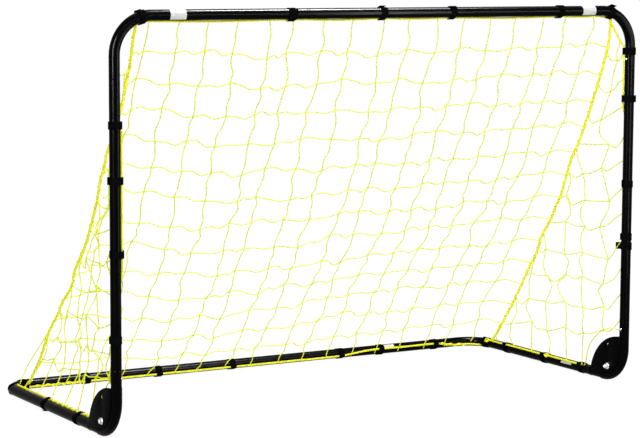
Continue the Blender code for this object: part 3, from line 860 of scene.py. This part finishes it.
def build_straps():
    for number, x in enumerate(crossbar_straps, 1):
        drop, angle = bend_place(x, half_width, top_bend)
        start, tail, skew = {2: (1, 3, -0.006), 6: (28, 5, 0.002)}.get(number, (20 + 3 * number, 3, 0.0))
        build_strap(f"strap_crossbar_{number}", Vector((x, front_y, top_z - drop)),
                    around(RIGHT, -UP, angle), Vector((0, 0.5, -0.866)), "front_frame", number, start,
                    15 + number % 3, tail, skew)
    for number, x in enumerate(rear_straps, 1):
        drop, angle = bend_place(x, half_width, rear_bend)
        build_strap(f"strap_rear_{number}", Vector((x, rear_y - drop, base_z)), around(RIGHT, -BACK, angle),
                    rear_rope_way(x), "base_frame", 20 + number, 26 + 2 * number)
    build_strap("strap_rear_extra", Vector((extra_rear_strap, rear_y, base_z)), RIGHT,
                rear_rope_way(extra_rear_strap), "base_frame", 31, 30, in_cad=False)
    for side, label in SIDES:
        x = side * half_width
        for number, z in enumerate(upright_straps[label], 1):
            turn = math.radians(rope_turn(side, z))
            extra = number == 5
            build_strap(f"strap_upright_{label}_{number}", Vector((x, front_y, z)), UP,
                        around(-side * RIGHT, BACK, turn), "front_frame", 40 + number + 10 * side,
                        9 if extra else 8 + 7 * number, 15, 8 if extra else 3, in_cad=not extra)
        for number, y in enumerate(rail_straps[label], 1):
            place = Vector((x, y, base_z))
            build_strap(f"strap_rail_{label}_{number}", place, BACK, rail_rope(side, y) - place, "base_frame",
                        60 + number + 10 * side, 25 + 5 * number)
        turn = math.radians(18)
        centre = Vector((side * (half_width - rear_bend), rear_y - rear_bend, base_z))
        place = centre + around(side * RIGHT, BACK, turn) * rear_bend
        build_strap(f"strap_rear_bend_{label}", place, around(BACK, -side * RIGHT, turn),
                    rear_bend_rope(side, turn) - place, "base_frame", 91 + side, 20, in_cad=False)


# Where the border ropes run

def rope_turn(side, z):
    """How far the rope has turned from an upright's inner side to its back, in degrees, at a height."""
    if side > 0:
        return 95 - 75 * ease((z - 0.86) / 0.06)
    turn = between(-6, 75, ease((z - 0.87) / 0.10))
    turn = between(80, turn, ease((z - 0.42) / 0.07))
    return between(135, turn, ease((z - 0.19) / 0.06))


def rope_at(side, z):
    """The border rope's place on an upright at a height."""
    way = around(-side * RIGHT, BACK, math.radians(rope_turn(side, z)))
    return Vector((side * half_width, front_y, z)) + rope_away * way


def top_bend_rope(side, angle):
    """The rope's place on a top bend. angle 0 is where the upright's straight part ends."""
    centre = Vector((side * (half_width - top_bend), front_y, top_z - top_bend))
    out = around(side * RIGHT, UP, angle)
    behind = between(0.966 if side < 0 else 0.7071, 0.5, ease(angle / math.radians(60)))
    inward = math.sqrt(1 - behind * behind)
    return centre + out * (top_bend - rope_away * inward) + BACK * rope_away * behind


def rail_rope(side, y):
    """The border rope's place on a side rail."""
    way = around(-side * RIGHT, UP, math.radians(62 if side < 0 else 45))
    return Vector((side * half_width, y, base_z)) + rope_away * way


def rear_bend_rope(side, angle):
    """The rope's place inside a rear bend. angle 0 is where the rail's straight part ends."""
    centre = Vector((side * (half_width - rear_bend), rear_y - rear_bend, base_z))
    out = around(side * RIGHT, BACK, angle)
    high = (rail_rope(side, 0).z - base_z) / rope_away
    low = -math.sin(math.radians(rear_turn(0.8 * side)))
    height = between(high, low, ease(math.degrees(angle) / (70 if side < 0 else 30)))
    inward = math.sqrt(1 - height * height)
    return centre + out * (rear_bend - rope_away * inward) + UP * rope_away * height


def shaken(points, reach, seed):
    """The points moved a little, so that a rope doesn't lie like a rod."""
    moved = []
    for i, place in enumerate(points):
        shift = [noise.noise(Vector((i * pace, seed + k, 0))) for k, pace in enumerate((0.37, 0.41, 0.33))]
        moved.append(place + reach * Vector(shift))
    return moved


def front_rope_route():
    """Up behind the left upright, along below the crossbar, across the corner and down the right upright."""
    points = [rope_at(-1, z) for z in stepped(0.168, top_z - top_bend, 0.03)]
    points += [top_bend_rope(-1, angle) for angle in quarter_turn(12)]
    straight = half_width - top_bend
    for x in stepped(0.02 - straight, straight - 0.01, 0.02):
        a, b = [(a, b) for a, b in zip(crossbar_straps, crossbar_straps[1:]) if a <= x <= b][0]
        droop = 0.0030 * min(1.0, (b - a) / 0.35) * math.sin(math.pi * (x - a) / (b - a)) ** 2
        points.append(Vector((x, top_rope.y, top_rope.z - droop)))
    leave, arrive_z = top_bend_rope(1, math.radians(68)), 1.087
    for i in range(8):
        points.append(leave.lerp(rope_at(1, arrive_z), i / 8) - UP * 0.006 * math.sin(math.pi * i / 8))
    points += [rope_at(1, z) for z in stepped(arrive_z, 0.165, -0.03)]
    return shaken(points, 0.0010, 1)


def base_rope_route():
    """Back along the left rail, across at the rear bar and forward along the right rail."""
    straight = half_width - rear_bend
    rail_end = rear_y - rear_bend
    points = [rail_rope(-1, y) for y in stepped(-0.226, rail_end - 0.01, 0.03)]
    points += [rear_bend_rope(-1, angle) for angle in quarter_turn(12)]
    for x in stepped(0.03 - straight, straight - 0.01, 0.03):
        points.append(Vector((x, rear_y, base_z)) + rear_rope_way(x) * rope_away)
    points += [rear_bend_rope(1, angle) for angle in quarter_turn(12)[::-1]]
    points += [rail_rope(1, y) for y in stepped(rail_end - 0.03, -0.232, -0.03)]
    return shaken(points, 0.0008, 11)


def build_seam(points, label):
    """The laced edge where the back net meets a side net."""
    route = curve_through(points, rope_step)
    seed = 30 if label == "left" else 40
    swayed = []
    for i, place in enumerate(route):
        fade = min(1.0, i / 12, (len(route) - 1 - i) / 12)
        sway = [noise.noise(Vector((i * 0.040, seed + shift, 0))) for shift in (0, 5, 9)]
        swayed.append(place + fade * 0.004 * Vector(sway))
    shape = Shape()
    shape.rope(swayed, seam_radius)
    shape.lace(swayed, 0.0047, 3)
    add_folding(f"seam_{label}_rope", shape, "rope_fibre")


def build_ropes():
    shape = Shape()
    shape.rope(curve_through(front_rope_route(), rope_step))
    add_shape("front_border_rope", shape, "rope_fibre", "front_frame", (), 60)

    # The base rope, with a net cord wound round three stretches (x and y from, x and y to) and two knots
    shape = Shape()
    route = curve_through(base_rope_route(), rope_step)
    shape.rope(route)
    laced = ((-0.90, -0.23, -0.85, 0.06), (-0.80, 0.36, -0.63, 0.42), (0.73, 0.36, 0.84, 0.42))
    for seed, (low_x, low_y, high_x, high_y) in enumerate(laced, 5):
        shape.lace([p for p in route if low_x < p.x < high_x and low_y < p.y < high_y], 0.0042, seed)
    for place, facing in ((rear_bend_rope(1, math.radians(6)), Vector((-0.6, -0.7, 0.35))),
                          (rail_rope(1, -0.018), Vector((-0.8, -0.5, 0.3)))):
        facing.normalize()
        shape.ring(place + facing * 0.005, facing, 0.0058, 0.0020, 14)
    add_shape("base_border_rope", shape, "rope_fibre", "base_frame", (), 60)

    for side, label in SIDES:
        start = rope_at(side, rope_end_z)
        end = rail_rope(side, rope_end_y)
        points = [start]
        for i in range(1, 8):
            angle = math.radians(86 - 80 * i / 8)
            x = side * (half_width - between(0.012, 0.026, math.sin(math.pi * i / 8)))
            points.append(Vector((x, front_y + foot_cord_reach * math.cos(angle),
                                  foot_cord_reach * math.sin(angle))))
        shape = Shape()
        shape.sweep(curve_through(points + [end], 0.008))
        add_folding(f"foot_cord_{label}", shape, "net_cord", (), start, end)
    shape = Shape()
    edge = [on_seam(-1, 0.82), Vector((-0.846, 0.352, 0.092)), rear_bend_rope(-1, math.radians(28))]
    shape.sweep(curve_through(edge, 0.01))
    add_folding("edge_cord_left", shape, "net_cord")
    for side, label in SIDES:
        build_seam(seams[side], label)


# Back net

def slack_cells(knots, hang):
    """A smooth slack cord through knots, as one list of points for each cell between two of them.

    hang gives the two points a third and two thirds along a cell their distance from its straight line.
    """
    controls = [knots[0]]
    for number, (a, b) in enumerate(zip(knots, knots[1:])):
        near, far = hang(number, a, b)
        controls += [a.lerp(b, 1 / 3) + near, a.lerp(b, 2 / 3) + far, b]
    return [smoothed(controls, 3 * number, 3 * number + 3, 4) + [knots[number + 1]]
            for number in range(len(knots) - 1)]


def slack_at(share, row):
    """How far the back net hangs below its straight slope, at a share of its width and a row."""
    reach = 0.088 * ease(share / 0.26) - 0.045 * max(0.0, (share - 0.28) / 0.66)
    left = math.sin(math.pi * (row / net_rows) ** 1.05) ** 0.75
    right = math.sin(math.pi * min(1.0, row / 11.3) ** 0.95) ** 0.75
    return reach * between(left, right, ease((share - 0.35) / 0.35))


def on_seam(side, share):
    """The place at a share of a seam's length."""
    fine = curve_through(seams[side], 0.01)
    where = share * (len(fine) - 1)
    i = min(int(where), len(fine) - 2)
    return fine[i].lerp(fine[i + 1], where - i)


def back_net_nodes():
    nodes = {}
    last = len(top_columns) - 1
    for column, top_x in enumerate(top_columns):
        for row in range(net_rows + 1):
            if column in (0, last) and row:
                nodes[column, row] = on_seam(-1 if column == 0 else 1, row / net_rows)
                continue
            place = top_rope + slope * (row / net_rows) + Vector((top_x + 0.0063 * row, 0, 0))
            place += sag_way * slack_at(column / last, row)
            if 0 < row < net_rows:
                seed = Vector((column * 0.93, row * 0.81, 4.0))
                place.x += 0.020 * noise.noise(seed)
                place += slope.normalized() * 0.026 * noise.noise(seed + Vector((9, 3, 1)))
                place += sag_way * 0.010 * noise.noise(seed + Vector((2, 7, 5)))
            nodes[column, row] = place
    return nodes


def build_back_net():
    nodes = back_net_nodes()
    dice = random.Random(11)
    shape = Shape()
    last = len(top_columns) - 1
    down_way = slope.normalized()

    def hang_down(number, a, b):
        sway, wave = dice.uniform(-0.006, 0.006), dice.uniform(-0.005, 0.005)
        deep = sag_way * dice.uniform(-0.002, 0.005)
        return RIGHT * (sway + wave) + deep, RIGHT * (sway - wave) + deep

    def hang_across(number, a, b):
        if number == last - 1:
            arch = dice.uniform(0.006, 0.014)
            return -down_way * arch, -down_way * arch * 0.3
        drop, wave = dice.uniform(-0.003, 0.006), dice.uniform(0.001, 0.009)
        deep = sag_way * dice.uniform(-0.003, 0.006)
        return down_way * (drop - wave) + deep, down_way * (drop + wave) + deep

    for column in range(1, last):
        for cell in slack_cells([nodes[column, row] for row in range(net_rows + 1)], hang_down):
            shape.sweep(cell)
    for row in range(1, net_rows):
        for cell in slack_cells([nodes[column, row] for column in range(last + 1)], hang_across):
            shape.sweep(cell)
    for column in range(1, last):
        for row in range(1, net_rows):
            shape.knot(nodes[column, row], down_way, dice)
    add_folding("back_net_cords", shape, "net_cord", ["back_net"])


# Side nets, and the weights of their knots between the two frames

def fold_share(place):
    """How far along the back net's fold a place is, 0 at the crossbar and 1 at the rear bar."""
    run = fold_end - fold_start
    return ease((place - fold_start).dot(run) / run.length_squared)


def polar_share(place):
    """1 for a place level behind the hinge pins, 0 for one straight above them."""
    return clamp(1 - math.degrees(math.atan2(place.z - pivot_z, place.y - pivot_y)) / 90)


def unease(weight):
    """The share whose eased value is the weight."""
    return 0.5 - math.sin(math.asin(1 - 2 * clamp(weight)) / 3)


def fold_line(a, b, weight_a, weight_b):
    """Start and end for a blend that gives the two places their weights."""
    ta, tb = unease(weight_a), unease(weight_b)
    run = b - a
    if abs(tb - ta) < 1e-4:
        square = run.cross(RIGHT)
        square = (square if square.length > 1e-6 else run.orthogonal()).normalized()
        if weight_a < 1e-3:
            return a + square * 0.5, a + square * 1.5
        if weight_a > 0.999:
            return a - square * 1.5, a - square * 0.5
        return a - square * ta, a + square * (1 - ta)
    start = a - run * (ta / (tb - ta))
    return start, start + run / (tb - ta)


def side_weight(key, place, side):
    """How far a side net's knot follows the base frame."""
    if key == "top" or key[0] == 0:
        return 0.0
    column, row = key
    if row == side_rows:
        return 1.0
    edge = on_seam(side, row / side_rows)
    share = clamp((place.y - front_y) / (edge.y - front_y))
    return clamp(polar_share(place) + (fold_share(edge) - polar_share(edge)) * share ** 3)


def side_net_nodes(side):
    """Knots of a side net. (0, row) is on the upright's rope, (column, side_rows) on the rail's rope."""
    rail = rail_rope(side, 0)
    nodes = {"top": Vector((side * 0.872, -0.400, 1.112))}
    for row in range(1, side_rows + 1):
        edge = on_seam(side, row / side_rows)
        nodes["seam", row] = edge
        level = side_top_z - side_row_drop * (row - 1)
        if level + 0.05 > 0.19:
            nodes[0, row] = rope_at(side, min(1.08, level + 0.05))
        for column, behind in enumerate(side_columns, 1):
            y = front_y + behind
            if row == side_rows:
                if column > 1:
                    nodes[column, row] = Vector((rail.x, max(y, -0.215), rail.z))
                continue
            if column == 1:
                y = min(y, between(front_y, edge.y, 0.5))
            elif y > edge.y - 0.022:
                break
            share = (y - front_y) / (edge.y - front_y)
            seed = Vector((column * 1.3, row * 1.1, 20.0 + 7 * side))
            loose = math.sin(math.pi * share) ** 0.5 * min(1.0, (edge.y - front_y) / 0.15)
            place = Vector((between(rail.x, edge.x, share ** 1.4), y, between(level, edge.z, share)))
            place += loose * Vector((-side * (0.010 + 0.030 * noise.noise(seed)),
                                     0.062 * noise.noise(seed + Vector((4, 1, 2))),
                                     0.045 * noise.noise(seed + Vector((7, 5, 3)))))
            away = Vector((0, place.y - front_y, place.z))
            if away.length < side_net_reach:
                away = away.normalized() * side_net_reach
                place.y, place.z = front_y + away.y, away.z
            place.z = max(place.z, side_net_low)
            nodes[column, row] = place
    return nodes


def build_side_net(side, label):
    """Every cord of a side net is a piece of its own."""
    dice = random.Random(70 + side)
    nodes = side_net_nodes(side)
    lines = []
    for row in range(1, side_rows):
        columns = [c for c in range(len(side_columns) + 1) if (c, row) in nodes]
        lines.append((True, [(c, row) for c in columns] + [("seam", row)]))
    for column in range(1, len(side_columns) + 1):
        line = [(column, row) for row in range(1, side_rows + 1) if (column, row) in nodes]
        first = line[0][1]
        if first > 1:
            line.insert(0, ("seam", first - 1))
        elif side > 0:
            line.insert(0, "top")
        lines.append((False, line))

    def slack(a, b):
        gap = (b - a).length
        return min(0.36 * gap, math.sqrt(0.375 * (mesh_length - gap) * gap)) if gap < mesh_length else 0.003

    def hang_level(number, a, b):
        loose = slack(a, b)
        drop, wave = loose * dice.uniform(0.1, 1.0), loose * dice.uniform(-0.1, 0.35)
        side_way = Vector((-side * loose * dice.uniform(-0.3, 0.5), loose * dice.uniform(-0.3, 0.3), 0))
        return side_way - UP * (drop - wave), side_way - UP * (drop + wave)

    def hang_upright(number, a, b):
        loose = slack(a, b)
        sway, wave = loose * dice.uniform(-0.9, 0.9), loose * dice.uniform(-0.3, 0.3)
        side_way = RIGHT * (-side * loose * dice.uniform(-0.2, 0.6))
        return side_way + BACK * (sway + wave), side_way + BACK * (sway - wave)

    number = 0
    for level, line in lines:
        cells = slack_cells([nodes[key] for key in line], hang_level if level else hang_upright)
        for a, b, cell in zip(line, line[1:], cells):
            number += 1
            shape = Shape()
            shape.sweep(cell)
            if level and a[0] != 0:
                shape.knot(nodes[a], (cell[1] - cell[0]).normalized(), dice)
            weights = [side_weight(key, nodes[key], side) for key in (a, b)]
            start, end = fold_line(nodes[a], nodes[b], *weights)
            add_folding(f"side_net_{label}_cord_{number}", shape, "net_cord",
                        [f"side_net_{label}"] if number == 1 else (), start, end)


# Bare labels

def label_patch(name, centre, along, facing, length, spread, body):
    """A thin film on a tube. spread is how far round the tube it reaches, in degrees."""
    shape = Shape()
    other = along.cross(facing)
    rings = []
    steps = 16
    for i in range(steps + 1):
        angle = math.radians(-spread / 2 + spread * i / steps)
        way = around(facing, other, angle)
        rings.append([centre + along * length * end + way * (tube_radius + reach)
                      for end, reach in ((-0.5, 0.00005), (0.5, 0.00005), (0.5, 0.00022), (-0.5, 0.00022))])
    shape.loops(rings, caps=True)
    add_shape(name, shape, "label_film", body, (), 30)


def build_labels():
    front = Vector((0, -0.94, 0.34)).normalized()
    above = Vector((0, -0.7071, 0.7071))
    inward = Vector((-0.87, 0, 0.5))
    for name, place, along, facing, length, spread, body in (
            ("crossbar_left", (-0.706, front_y, top_z), RIGHT, front, 0.050, 150, "front_frame"),
            ("crossbar_right", (0.726, front_y, top_z), RIGHT, front, 0.049, 150, "front_frame"),
            ("rear_bar", (0.520, rear_y, base_z), RIGHT, above, 0.040, 50, "base_frame"),
            ("rail_right", (half_width, -0.128, base_z), BACK, inward, 0.058, 40, "base_frame")):
        label_patch(f"label_{name}", Vector(place), along, facing, length, spread, body)


# Stage, lights and camera

def build_stage():
    """A white sweep. Its glow is only for what sees it as a background, so it keeps the goal's shadow."""
    mesh = bpy.data.meshes.new("sweep")
    floor_z = -0.0005
    profile = [(-30, floor_z), (14, floor_z)]
    for angle in quarter_turn(12)[1:]:
        profile.append((14 + 6 * math.sin(angle), 6 - 6 * math.cos(angle) + floor_z))
    profile.append((20, 30))
    points = [(x, y, z) for y, z in profile for x in (-60, 60)]
    faces = [(2 * i, 2 * i + 1, 2 * i + 3, 2 * i + 2) for i in range(len(profile) - 1)]
    mesh.from_pydata(points, [], faces)
    mesh.shade_smooth()
    add_object("sweep", mesh)
    material = new_material("white_sweep", (0.8, 0.8, 0.8), 1.0, gloss=0.0)
    nodes, links = material.node_tree.nodes, material.node_tree.links
    shader = nodes["Principled BSDF"]
    seen = seen_as_background(nodes, links)
    links.new(mixed_grey(nodes, links, seen, 0.8, 0.13), shader.inputs["Base Color"])
    glow = nodes.new("ShaderNodeEmission")
    links.new(mixed_grey(nodes, links, seen, 0.0, 0.935), glow.inputs["Color"])
    both = nodes.new("ShaderNodeAddShader")
    links.new(shader.outputs["BSDF"], both.inputs[0])
    links.new(glow.outputs["Emission"], both.inputs[1])
    links.new(both.outputs["Shader"], nodes["Material Output"].inputs["Surface"])
    mesh.materials.append(material)


def seen_as_background(nodes, links):
    """1 for rays that see the background: from the camera, off gloss and through glass. Otherwise 0."""
    path = nodes.new("ShaderNodeLightPath")
    total = path.outputs["Is Camera Ray"]
    for name in ("Is Glossy Ray", "Is Transmission Ray"):
        most = nodes.new("ShaderNodeMath")
        most.operation = "MAXIMUM"
        links.new(total, most.inputs[0])
        links.new(path.outputs[name], most.inputs[1])
        total = most.outputs["Value"]
    return total


def mixed_grey(nodes, links, share, low, high):
    """A grey that is low where the share is 0 and high where it is 1."""
    shade = nodes.new("ShaderNodeMix")
    shade.data_type = "RGBA"
    shade.inputs["A"].default_value = (low, low, low, 1)
    shade.inputs["B"].default_value = (high, high, high, 1)
    links.new(share, shade.inputs["Factor"])
    return shade.outputs["Result"]


def build_world():
    world = bpy.data.worlds.new("studio")
    bpy.context.scene.world = world
    world.use_nodes = True
    world.node_tree.nodes["Background"].inputs["Color"].default_value = (0.66, 0.66, 0.665, 1)


def area_light(name, place, target, width, height, brightness, gloss_only=False):
    """A softbox; brightness is what its face would show. A gloss-only one only makes highlights."""
    light = bpy.data.lights.new(name, "AREA")
    light.shape = "RECTANGLE"
    light.size = width
    light.size_y = height
    light.energy = brightness * math.pi * width * height
    thing = add_object(name, light)
    thing.location = place
    thing.rotation_euler = (Vector(target) - Vector(place)).to_track_quat("-Z", "Y").to_euler()
    thing.visible_camera = False
    thing.visible_diffuse = not gloss_only


def build_lights():
    area_light("top", (0.0, 0.0, 4.2), (0, 0.001, 0.6), 3.0, 3.0, 1.5)
    area_light("front", (-1.2, -5.5, 4.2), (0, 0, 0.6), 2.4, 1.6, 11)
    area_light("back", (0.4, 3.4, 3.6), (0, 0, 0.4), 3.0, 1.2, 3.0)
    area_light("crossbar_gloss", (0.72, -0.38, 3.2), (0.72, -0.40, 1.2), 0.90, 0.45, 1050, True)
    area_light("crossbar_gloss_end", (1.35, -0.38, 3.2), (1.35, -0.40, 1.2), 0.70, 0.45, 225, True)
    area_light("bar_gloss", (1.9, -2.6, 1.28), (0.4, -0.42, 1.2), 3.0, 0.35, 60, True)
    area_light("left_gloss", (-3.4, -2.1, 1.75), (-0.9, -0.42, 1.1), 0.45, 1.9, 425, True)
    area_light("middle_gloss", (1.0, -1.98, 1.0), (-0.3, -0.42, 0.7), 0.28, 1.7, 90, True)


def build_camera():
    """The camera that a fit to the photo's tubes gives."""
    camera = bpy.data.cameras.new("camera")
    camera.sensor_width = 36
    camera.lens = 124.87
    camera.sensor_fit = "HORIZONTAL"
    camera.clip_end = 200
    thing = add_object("camera", camera)
    right = Vector((0.86600, -0.50002, 0.00446))
    upward = Vector((0.05457, 0.10338, 0.99314))
    forward = Vector((0.49705, 0.85982, -0.11681))
    turn = Matrix((right, upward, -forward)).transposed()
    thing.matrix_world = Matrix.Translation((-3.49, -6.0468, 1.3641)) @ turn.to_4x4()
    bpy.context.scene.camera = thing


def build_scene():
    build_tubes()
    for side, label in SIDES:
        build_hinge(side, label)
    build_buttons()
    build_straps()
    build_ropes()
    build_back_net()
    for side, label in SIDES:
        build_side_net(side, label)
    build_labels()
    build_stage()
    build_world()
    build_lights()
    build_camera()


build_scene()
bpy.context.scene.view_settings.view_transform = "Standard"
